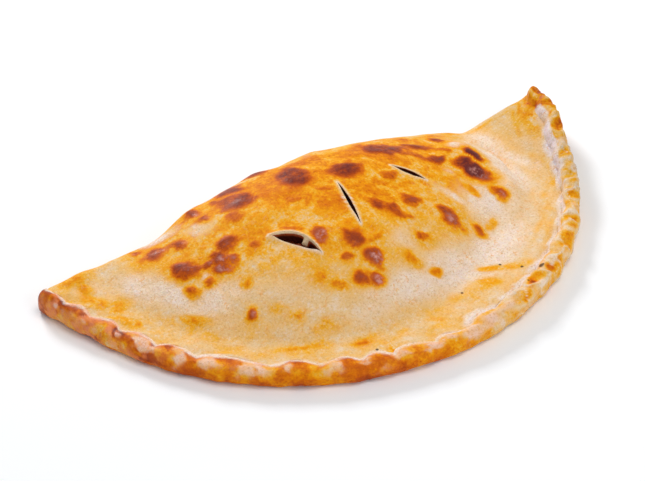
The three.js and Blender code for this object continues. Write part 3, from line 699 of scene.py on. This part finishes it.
def wallHeat(at):
    # brown from the left tip to the middle, then paler with brown pits and bright crests; even along the fold
    rough, run, shares, right, pitFar = at.rough, at.run, at.shares, at.right, at.pitFar
    warm = 1 - smooth((run - detail["warmFrom"]) / (detail["warmTo"] - detail["warmFrom"]))
    heat = 0.2 + 0.5 * warm + 0.12 * rough(7.0, 7) - 0.12 * at.crest
    hook = smooth(0.5 + 0.14 * at.pitAlong + 0.12 * at.pitAcross)
    pits = 0.15 + 0.12 * smooth((4.8 - pitFar) / 2.4) + 0.06 * hook * bell((pitFar - 3.0) / 1.4)
    pits -= 0.24 * bell((pitFar - 5.8) / 1.5) + 0.12 * at.wrinkles
    heat += right * (pits + 0.1 * bell((at.swirl - 0.28) / 0.1))
    heat += 0.14 * smooth((run - 368) / 14) + 0.035 * bell((run - 205) / 45) * smooth((shares - 0.25) / 0.2)
    heat += 0.5 * bell((run - 260) / 4.0) * bell((shares - 0.3) / 0.07)
    heat += warm * 0.08 * bell((shares - 0.16) / 0.1) * rough(5.0, 17)
    heat += warm * 0.06 * smooth((shares - 0.45) / 0.2)
    upper = 0.22 * at.mottle * (0.5 + 0.5 * bell((shares - 0.17) / 0.13)) + 0.1 * bell((shares - 0.15) / 0.08)
    heat += (1 - smooth((run - 60) / 60)) * (upper - 0.06)
    heat = heat * (1 - 0.45 * at.pale) - 0.06 * at.rosy + (0.05 + 0.13 * at.rosy) * rough(3.2, 34) + at.around
    behind = 0.42 + 0.1 * rough(18.0, 9)
    return behind + (heat - behind) * smooth(at.onRim / 0.4)


def crustHeat(at, hot):
    # the heat of top and wall, more at both tips, then the blisters over it; low again on lip and cut edges
    x, y = at.x, at.y
    heat = np.where(at.isTop, topHeat(at), wallHeat(at))
    heat += 0.16 * bell(np.hypot(x - 138, y + 7) / 11.0) * at.notBase
    heat += 0.3 * bell((at.nearTip - 1.0) / 4.5) * smooth((y + 9) / 6)
    heat += 0.4 * bell(np.linalg.norm(at.rings - np.array([-142.0, -3.0, 10.0]), axis=-1) / 1.8)
    heat += (0.66 - heat) * at.tipBand
    heat += 0.3 * bell((at.run - 404) / 5) * bell((at.shares - 0.02) / 0.12) * bell(at.toRim / 3) * at.onRim
    heat = np.maximum(heat, heat * (1 - smooth(hot / 0.5)) + hot)
    heat *= 1 - 0.6 * at.lip * at.crumbly
    return heat + (0.2 - heat) * at.nearCut


def crustFlour(at, hot):
    # patches on the top, a band by the crease that also paints shade into its valley, and the margin, then
    # the white fold by the right rim, the lip, knobs, crests and pressed patches; none on blisters
    rough, s, shares, toRim, onRim, topOnly = at.rough, at.s, at.shares, at.toRim, at.onRim, at.topOnly
    patches = [amount * bell(patchShare(at.rings, *patch)) for *patch, amount in floury]
    # pale lilac band beside the crease: flour, and painted shade of the valley
    beside = bell(lineDistance(at.rings, np.array(crease) - np.array([6.0, 1.0])) / 4.4)
    flour = largest(*patches, beside * (0.85 + 0.6 * rough(4.0, 45)),
                    at.margin * (1 - at.wing) * (0.15 + 0.25 * rough(7.0, 49)))
    flour = flour * topOnly * (1 - 0.15 * bell(at.creased / 1.2))
    late = smooth((s - detail["whiteWide"]) / 30)
    whiteFold = smooth((s - detail["whiteFrom"]) / 10) * smooth((detail["whiteTo"] - s) / 8)
    whiteFold = whiteFold * smooth(1.0 + rough(7.0, 16))
    foldWide = 2.2 + 2.2 * late + 1.5 * rough(6.0, 24)
    lipWide = 0.085 + 0.05 * rough(6.0, 52)
    side = 1 - at.right
    flour = largest(
        flour,
        bell(toRim / 1.2) * topOnly * at.crimp * (0.35 * side * at.crumbly + 0.2),
        bell((toRim - 1.2) / foldWide) * topOnly * whiteFold * (1.25 + 0.5 * rough(3.4, 48)),
        onRim * smooth((0.15 + 0.1 * late - shares) / 0.1) * whiteFold * 1.5,
        bell((shares - 0.06) / lipWide) * onRim * side * (0.75 + 0.5 * at.crumbly),
        0.85 * at.knobs,
        0.7 * at.crest,
        at.pale * (0.72 + 0.42 * rough(2.4, 53)) * (1 - 0.5 * at.blush),
        onRim * at.right * 0.4 * smooth(0.4 + 1.4 * rough(5.0, 19)) * smooth((at.pitFar - 3) / 3))
    flour = flour * (1 - smooth(hot / 0.45)) * (1 - at.tipBand)
    flour = np.where(at.notBase > 0, flour, 0.35 + 0.3 * rough(14.0, 10))
    return np.clip(np.maximum(flour, 0.8 * at.nearCut), 0, 1.5)


def crustSurface():
    # the rings moved along their normals by the relief, then the wing curled up, with the colour fields
    at = crustRings()
    hot, risen, gloss = (field * at.topOnly for field in blisterFields(at.rings))
    markRings(at)
    markWall(at)
    relief = crustRelief(at, risen, gloss)
    rings = at.rings + gridNormals(at.rings) * relief[..., None]
    rings[..., 2] = np.clip(rings[..., 2], 0.0, None) * at.notBase + wingRise(rings[..., 0])
    # the wing field also darkens and cools the right wing in the material, a painted shade
    fields = {
        "browning": crustHeat(at, hot), "flour": crustFlour(at, hot), "blush": at.blush, "wing": at.wing,
        "gloss": largest(gloss, 0.5 * at.blush, at.knobs), "cut": 0 * at.x, "deep": 0 * at.x,
    }
    top = np.array(detail["topCentre"])
    peak = np.array([*top, skinHeight(*top) + relief[0].mean()])
    return closedGrid("crust_piece", rings, peak, np.array([*crust["centre"], 0.0]), fields)


# hollow and filling
inside = {"columns": 144, "rings": 44, "lumps": 1.1, "lumpCell": 7.5, "grains": 0.5, "grainCell": 3.0}


def hollowRoof(x, y, inset):
    # one wall under the skin, measured square to its slope
    here = skinHeight(x, y)
    slope = np.hypot(skinHeight(x + 0.5, y) - here, skinHeight(x, y + 0.5) - here) / 0.5
    return here - (crust["wall"] + inset) * np.hypot(1, np.minimum(crust["steepest"], slope))


def hollowReach(angle):
    # walk outwards from the centre until the dome gets too low, the fold too near or the roof meets the floor
    reach = np.arange(10.0, 140.0, 0.1)
    x = crust["centre"][0] + np.cos(angle)[:, None] * reach
    y = crust["centre"][1] + np.sin(angle)[:, None] * reach
    within = (domeRise(x, y) > crust["hollowDome"]) & (foldDepth(x, y) > crust["hollowFold"])
    within &= hollowRoof(x, y, 0.0) > crust["floor"] + crust["hollowEdge"]
    return reach[np.argmin(within, axis=1)]


def hollowGrid(name, inset, lumpy):
    # rings under the roof of the hollow, closed by a flat floor
    angle = 2 * np.pi * np.arange(inside["columns"]) / inside["columns"]
    v = np.sin(np.arange(1, inside["rings"] + 1) / inside["rings"] * np.pi / 2)
    centre = np.array(crust["centre"])
    reach = (hollowReach(angle) - inset) * v[:, None]
    x = centre[0] + np.cos(angle) * reach
    y = centre[1] + np.sin(angle) * reach
    floor = crust["floor"] + inset
    roof = hollowRoof(x, y, inset)
    rings = np.stack([x, y, roof], axis=-1)
    if lumpy:
        bumps = inside["lumps"] * np.abs(lattice(rings, inside["lumpCell"], 21))
        bumps += inside["grains"] * np.abs(lattice(rings, inside["grainCell"], 22))
        rings[..., 2] -= bumps * 2.0 * smooth((1 - v) / 0.1)[:, None]
    rings[..., 2] = np.maximum(rings[..., 2], floor + crust["hollowEdge"] / 2)
    foot = rings[-1:].copy()
    foot[..., 2] = floor
    rings = np.concatenate([rings, foot])
    peak = np.array([*centre, rings[0, :, 2].mean()])
    # the hollow's inside takes the deepest value, the near-black painted shade
    fields = {"cut": np.ones(rings.shape[:2]), "deep": np.full(rings.shape[:2], 1.3)}
    return closedGrid(name, rings, peak, np.array([*centre, floor]), fields)


def slitCutter(slit, number):
    # a lens in plan carried from above the skin into the hollow, its walls slightly torn
    count, levels = 40, 18
    there = np.arange(count) / count
    share = np.concatenate([there, 1 - there])
    width = np.where(np.arange(2 * count) < count, slit["far"], -slit["near"]) * np.sin(np.pi * share)
    dx, dy = turned(slit["length"] * share, width, -slit["turn"])
    x, y = (slit["end"][0] + dx)[::-1], (slit["end"][1] + dy)[::-1]
    middle = np.array([x.mean(), y.mean()])
    surface = skinHeight(x, y)
    down = np.linspace(3.5, -8.5, levels)[:, None]
    rings = np.stack([x + 0 * down, y + 0 * down, surface + down], axis=-1)
    torn = lattice(rings, 2.2, 31 + number) * 0.35 * smooth(-down / 1.5 + 0.2)
    outward = unit(rings[..., :2] - middle)
    share = share[::-1]
    crumb = bell((share - 0.66) / 0.045) * (width[::-1] > 0) * bell((down + 2.4) / 2.0)
    rings[..., :2] += outward * (torn - slit["flap"] * crumb)[..., None]
    # deep is 0 at the lip of the cut, 0.5 where the pale crumb ends and 1.3 at most; past about 0.55 the
    # crumb turns into a near-black painted shade
    pale = slit["pale"][0] + (slit["pale"][1] - slit["pale"][0]) * share
    deep = np.clip((slit["top"] - down) / (2 * pale), 0, 1.3)
    deep = deep * (1 - 0.9 * np.clip(slit["flap"] * crumb, 0, 1))
    fields = {"cut": np.ones(deep.shape), "deep": deep}
    high = np.array([*middle, rings[0, :, 2].mean()])
    low = np.array([*middle, rings[-1, :, 2].mean()])
    return closedGrid(f"slit_cutter_{number}", rings, high, low, fields)


def takeAway(thing, cutter):
    # cut one closed mesh out of another and keep the result as plain mesh
    modifier = thing.modifiers.new("cut", "BOOLEAN")
    modifier.operation = "DIFFERENCE"
    modifier.solver = "MANIFOLD"
    modifier.object = cutter
    bpy.context.view_layer.update()
    result = bpy.data.meshes.new_from_object(thing.evaluated_get(bpy.context.evaluated_depsgraph_get()))
    thing.modifiers.clear()
    spent = [thing.data, cutter.data]
    thing.data = result
    bpy.data.objects.remove(cutter)
    for mesh in spent:
        bpy.data.meshes.remove(mesh)


def shadeSmooth(thing, degrees):
    thing.data.polygons.foreach_set("use_smooth", np.ones(len(thing.data.polygons), dtype=bool))
    thing.data.set_sharp_from_angle(angle=np.radians(degrees))


crustPiece = crustSurface()
print("crust surface:", len(crustPiece.data.polygons), "faces")
takeAway(crustPiece, hollowGrid("hollow", 0.0, False))
for number, slit in enumerate(slits):
    takeAway(crustPiece, slitCutter(slit, number))
shadeSmooth(crustPiece, 50)
print("crust cut:", sum(len(p.vertices) - 2 for p in crustPiece.data.polygons), "triangles")

fillingPiece = hollowGrid("filling_piece", crust["gap"], True)
shadeSmooth(fillingPiece, 60)


# shader tools
class Value:
    # a number socket that takes part in sums

    def __init__(self, bench, socket):
        self.bench = bench
        self.socket = socket

    def math(self, operation, *others):
        return self.bench.sum(operation, self, *others)

    def __add__(self, other):
        return self.math("ADD", other)

    __radd__ = __add__

    def __sub__(self, other):
        return self.math("SUBTRACT", other)

    def __rsub__(self, other):
        return self.bench.sum("SUBTRACT", other, self)

    def __mul__(self, other):
        return self.math("MULTIPLY", other)

    __rmul__ = __mul__

    def clamp(self):
        return self.bench.sum("ADD", self, 0.0, use_clamp=True)

    def larger(self, other):
        return self.math("MAXIMUM", other)

    def between(self, low, high):
        # 0 up to low, 1 from high on and an S-curve between
        made = self.bench.node("ShaderNodeMapRange", {"interpolation_type": "SMOOTHSTEP"},
                               {"Value": self, "From Min": low, "From Max": high})
        return Value(self.bench, made.outputs["Result"])


class Bench:
    # a material and the nodes on it

    def __init__(self, name):
        self.material = bpy.data.materials.new(name)
        self.material.use_nodes = True
        self.tree = self.material.node_tree
        self.tree.nodes.clear()
        self.place = self.node("ShaderNodeTexCoord").outputs["Object"]

    def node(self, kind, settings=None, sockets=None):
        made = self.tree.nodes.new(kind)
        for key, value in (settings or {}).items():
            if key == "stops":
                self.stops(made.color_ramp, value)
            else:
                setattr(made, key, value)
        for key, value in (sockets or {}).items():
            self.plug(made.inputs[key], value)
        return made

    def plug(self, socket, value):
        if isinstance(value, Value):
            value = value.socket
        if isinstance(value, bpy.types.NodeSocket):
            self.tree.links.new(value, socket)
        elif isinstance(value, tuple) and len(value) == 3 and socket.type == "RGBA":
            socket.default_value = (*value, 1.0)
        else:
            socket.default_value = value

    def stops(self, ramp, stops):
        while len(ramp.elements) < len(stops):
            ramp.elements.new(1.0)
        for element, (position, colour) in zip(ramp.elements, stops):
            element.position = position
            element.color = (*colour, 1.0)

    def sum(self, operation, *values, use_clamp=False):
        settings = {"operation": operation, "use_clamp": use_clamp}
        return Value(self, self.node("ShaderNodeMath", settings, dict(enumerate(values))).outputs[0])

    def field(self, name):
        made = self.node("ShaderNodeAttribute", {"attribute_type": "GEOMETRY", "attribute_name": name})
        return Value(self, made.outputs["Fac"])

    def noise(self, size, detailLevel=3.0, roughness=0.5, stretch=(1.0, 1.0, 1.0)):
        # cloud noise about 0, between -1 and 1, with lumps of that size in metres
        mapped = self.node("ShaderNodeMapping", {}, {"Vector": self.place, "Scale": stretch})
        made = self.node("ShaderNodeTexNoise", {}, {
            "Vector": mapped.outputs[0], "Scale": 1.0 / size, "Detail": detailLevel, "Roughness": roughness})
        return Value(self, made.outputs["Fac"]) * 2.0 - 1.0

    def cells(self, size):
        made = self.node("ShaderNodeTexVoronoi", {}, {"Vector": self.place, "Scale": 1.0 / size})
        return Value(self, made.outputs["Distance"])

    def blend(self, first, second, share, mode="MIX"):
        settings = {"data_type": "RGBA", "blend_type": mode}
        return self.node("ShaderNodeMix", settings, {0: share, 6: first, 7: second}).outputs[2]

    def layered(self, colour, palette, layers):
        # tints of a palette over a colour, one after the other, each with its share
        for name, share, *mode in layers:
            colour = self.blend(colour, palette[name], share, *mode)
        return colour

    def finish(self, thing, shader):
        output = self.node("ShaderNodeOutputMaterial")
        self.tree.links.new(shader.outputs[0], output.inputs["Surface"])
        thing.data.materials.clear()
        thing.data.materials.append(self.material)


def tint(red, green, blue):
    # a colour as a screen shows it, 0 to 255, made linear
    share = np.array([red, green, blue]) / 255.0
    linear = np.where(share <= 0.04045, share / 12.92, ((share + 0.055) / 1.055) ** 2.4)
    return tuple(float(part) for part in linear)


# materials
baking = {
    "ramp": [
        (0.00, tint(232, 208, 182)), (0.12, tint(231, 196, 146)), (0.24, tint(235, 187, 114)),
        (0.36, tint(238, 174, 46)), (0.48, tint(237, 156, 0)), (0.58, tint(228, 136, 0)),
        (0.68, tint(215, 112, 0)), (0.78, tint(190, 84, 6)), (0.88, tint(158, 64, 20)),
        (1.00, tint(104, 40, 38)),
    ],
    "lilacFlourAndSheen": tint(233, 213, 207), "chalk": tint(243, 226, 222), "cream": tint(247, 226, 196),
    "tan": tint(226, 206, 186), "olive": tint(222, 178, 102), "stain": tint(232, 168, 92),
    "dull": tint(239, 244, 255), "blush": tint(240, 150, 106), "grain": tint(214, 186, 140),
    "glint": tint(222, 156, 144), "burnt": tint(60, 34, 22), "crumb": tint(255, 226, 184),
    "soaked": tint(168, 74, 34), "darkCrumb": tint(60, 20, 10),
}


def bakedDough(thing):
    bench = Bench("baked_dough")
    heat, flour, gloss = bench.field("browning"), bench.field("flour"), bench.field("gloss")
    cut, deep, blush = bench.field("cut"), bench.field("deep"), bench.field("blush")
    broad = bench.noise(0.016, 3.0, 0.55)
    medium = bench.noise(0.0045, 4.0, 0.6)
    fine = bench.noise(0.0013, 3.0, 0.65)
    grain = bench.noise(0.0009, 2.0, 0.7)
    blots = bench.noise(0.0075, 5.0, 0.65, (1.0, 1.0, 1.6)).between(0.1, 0.5)
    # heat with clouds and blots over it, strongest where the dough is golden and weaker upwards
    amount = 0.5 + 0.7 * heat.between(0.3, 0.5) - 0.6 * heat.between(0.55, 0.74)
    clouds = broad * 0.44 + blots * 0.2 + medium * 0.46 + fine * 0.24 - 0.02
    cloudy = heat + (clouds - clouds.larger(0.0) * 0.55) * amount
    ramp = bench.node("ShaderNodeValToRGB", {"stops": baking["ramp"]}, {"Fac": cloudy})
    # flour dust over the baked colour; its lilac stands partly for a painted sheen on the slopes
    dustAndSheen = (flour * (0.95 + broad * 0.7 + medium * 1.0 + fine * 0.9)).between(0.08, 0.9) * 0.94
    mealy = bench.noise(0.0024, 4.0, 0.75)
    flourAndSheenColour = bench.layered(baking["lilacFlourAndSheen"], baking, [
        ("cream", (medium * 0.9 + fine * 0.7 + 0.5).clamp()),
        ("chalk", (flour + medium * 0.4).between(1.0, 1.35)),
        ("chalk", (mealy + broad * 0.5).between(0.08, 0.4) * 0.8),
        ("tan", (mealy * -1.0 + medium * 0.5).between(0.1, 0.5) * 0.5, "MULTIPLY"),
    ])
    colour = bench.blend(ramp.outputs["Color"], flourAndSheenColour, dustAndSheen)
    veil = bench.noise(0.0065, 5.0, 0.65).between(0.02, 0.4) * heat.between(0.46, 0.3)
    seams = bench.noise(0.012, 4.0, 0.6).math("ABSOLUTE").between(0.05, 0.0) * medium.between(-0.1, 0.3)
    flecks = (fine * -1.0 - grain * 0.5).between(0.05, 0.55) * heat.between(0.5, 0.3)
    colour = bench.layered(colour, baking, [
        ("olive", veil * (1.0 - dustAndSheen * 0.8) * 0.38),
        ("stain", seams * 0.7 * (1.0 - heat.between(0.5, 0.6))),
        # painted shade: the right wing multiplied darker and a little cooler
        ("dull", bench.field("wing"), "MULTIPLY"),
        ("blush", (blush + medium * 0.5 * blush).clamp() * 0.8),
        ("grain", (grain + fine * 0.4).between(-0.05, 0.5) * (0.42 + dustAndSheen * 0.25), "MULTIPLY"),
        ("chalk", flecks * 0.3),
        # painted pink highlight where the dough is glossy
        ("glint", (medium + fine * 0.5).between(-0.15, 0.35) * gloss.between(0.15, 0.75) * 0.7),
    ])
    # black specks, and crumb in the cuts, soaked by the filling further down, then a near-black painted shade
    # deepest in the cuts and in the hollow
    low = bench.node("ShaderNodeMapping", {}, {"Vector": bench.place, "Scale": (1.0, 1.0, 0.1)}).outputs[0]
    for x, y, radius in specks:
        spot = toFrame(np.array([x, y, 1.0]))
        away = bench.node("ShaderNodeVectorMath", {"operation": "DISTANCE"}, {0: low, 1: tuple(spot)})
        near = (Value(bench, away.outputs["Value"]) + fine * 0.0004).between(radius / 800.0, radius / 1500.0)
        colour = bench.blend(colour, baking["burnt"], near * 0.85)
    crumb = bench.layered(baking["crumb"], baking, [
        ("soaked", (deep + medium * 0.14).between(0.34, 0.54)),
        ("darkCrumb", (deep + medium * 0.2).between(0.55, 1.05)),
    ])
    colour = bench.blend(colour, crumb, cut)
    pores = bench.cells(0.0016).between(0.0, 0.5)
    height = (medium * 0.35 + fine * 0.35 + mealy * dustAndSheen * 0.3) * (1.0 + dustAndSheen * 0.5)
    height = height + pores * 0.3 * (0.3 + cut)
    bump = bench.node("ShaderNodeBump", {}, {"Strength": 0.75, "Distance": 0.0006, "Height": height})
    rough = 0.58 - 0.2 * heat.between(0.5, 0.95) + 0.12 * flour + fine * 0.05
    shader = bench.node("ShaderNodeBsdfPrincipled", {}, {
        "Base Color": colour, "Roughness": rough, "Normal": bump.outputs[0],
        "Subsurface Weight": 0.12, "Subsurface Radius": (1.0, 0.5, 0.25), "Subsurface Scale": 0.002,
        "Coat Weight": gloss * (fine + 0.35).clamp(), "Coat Roughness": 0.16, "Specular IOR Level": 0.08})
    bench.finish(thing, shader)


sauce = {
    "dark": tint(150, 56, 26), "bright": tint(204, 96, 44), "shrimp": tint(226, 140, 110),
    "squid": tint(236, 214, 186),
}


def seafoodFilling(thing):
    bench = Bench("seafood_filling")
    clouds = bench.noise(0.004, 4.0, 0.6)
    fine = bench.noise(0.001, 3.0, 0.6)
    shrimp = (bench.cells(0.009) + clouds * 0.12).between(0.34, 0.24)
    squid = (bench.cells(0.0047) + fine * 0.1).between(0.2, 0.12)
    colour = bench.layered(sauce["dark"], sauce, [
        ("bright", (clouds * 0.8 + fine * 0.3 + 0.4).clamp()),
        ("shrimp", shrimp * 0.8),
        ("squid", squid * 0.75),
    ])
    bump = bench.node("ShaderNodeBump", {}, {"Strength": 0.6, "Distance": 0.0008,
                                             "Height": clouds * 0.5 + fine * 0.3 + shrimp * 0.5})
    shader = bench.node("ShaderNodeBsdfPrincipled", {}, {
        "Base Color": colour, "Roughness": 0.34 + fine * 0.08, "Normal": bump.outputs[0],
        "Subsurface Weight": 0.1, "Subsurface Radius": (1.0, 0.3, 0.15), "Subsurface Scale": 0.002,
        "Coat Weight": 0.5, "Coat Roughness": 0.12})
    bench.finish(thing, shader)


bakedDough(crustPiece)
seafoodFilling(fillingPiece)
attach(crustPiece, "root")
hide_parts("crust")
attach(fillingPiece, "root")
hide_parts("filling")
print("materials on")

# floor and light
studio = {
    "floorSize": 8.0, "floorDrop": 0.0002, "floorTint": (0.945, 0.96, 0.98), "ambient": 0.42,
    # softboxes: where, size, power
    "boxes": {"back": ((0.06, 1.12, 0.73), 0.33, 10.9), "above": ((0.20, -0.35, 1.30), 0.60, 5.0),
              "front": ((0.22, -1.05, 0.62), 0.80, 3.5)},
}


def buildStudio():
    half, low = studio["floorSize"] / 2, -studio["floorDrop"]
    mesh = bpy.data.meshes.new("floor")
    corners = [(-half, -half, low), (half, -half, low), (half, half, low), (-half, half, low)]
    mesh.from_pydata(corners, [], [(0, 1, 2, 3)])
    floor = bpy.data.objects.new("floor", mesh)
    bpy.context.collection.objects.link(floor)
    bench = Bench("pale_floor")
    shade = bench.noise(0.4, 2.0, 0.5) * 0.004 + 1.0
    colour = bench.blend((0.0, 0.0, 0.0), studio["floorTint"], shade)
    shader = bench.node("ShaderNodeBsdfPrincipled", {}, {"Base Color": colour, "Roughness": 0.9,
                                                        "Specular IOR Level": 0.0})
    bench.finish(floor, shader)
    for name, (where, size, power) in studio["boxes"].items():
        data = bpy.data.lights.new(name, "AREA")
        data.size = size
        data.energy = power
        lamp = bpy.data.objects.new(name, data)
        lamp.location = where
        aim = Vector((0.0, 0.0, 0.01)) - Vector(where)
        lamp.rotation_euler = aim.to_track_quat("-Z", "Y").to_euler()
        bpy.context.collection.objects.link(lamp)
    world = bpy.data.worlds.new("studio")
    world.use_nodes = True
    sky = world.node_tree.nodes["Background"].inputs
    sky["Color"].default_value = (1.0, 1.0, 1.0, 1.0)
    sky["Strength"].default_value = studio["ambient"]
    bpy.context.scene.world = world
    bpy.context.scene.view_settings.view_transform = "Standard"


buildStudio()
print("studio ready")
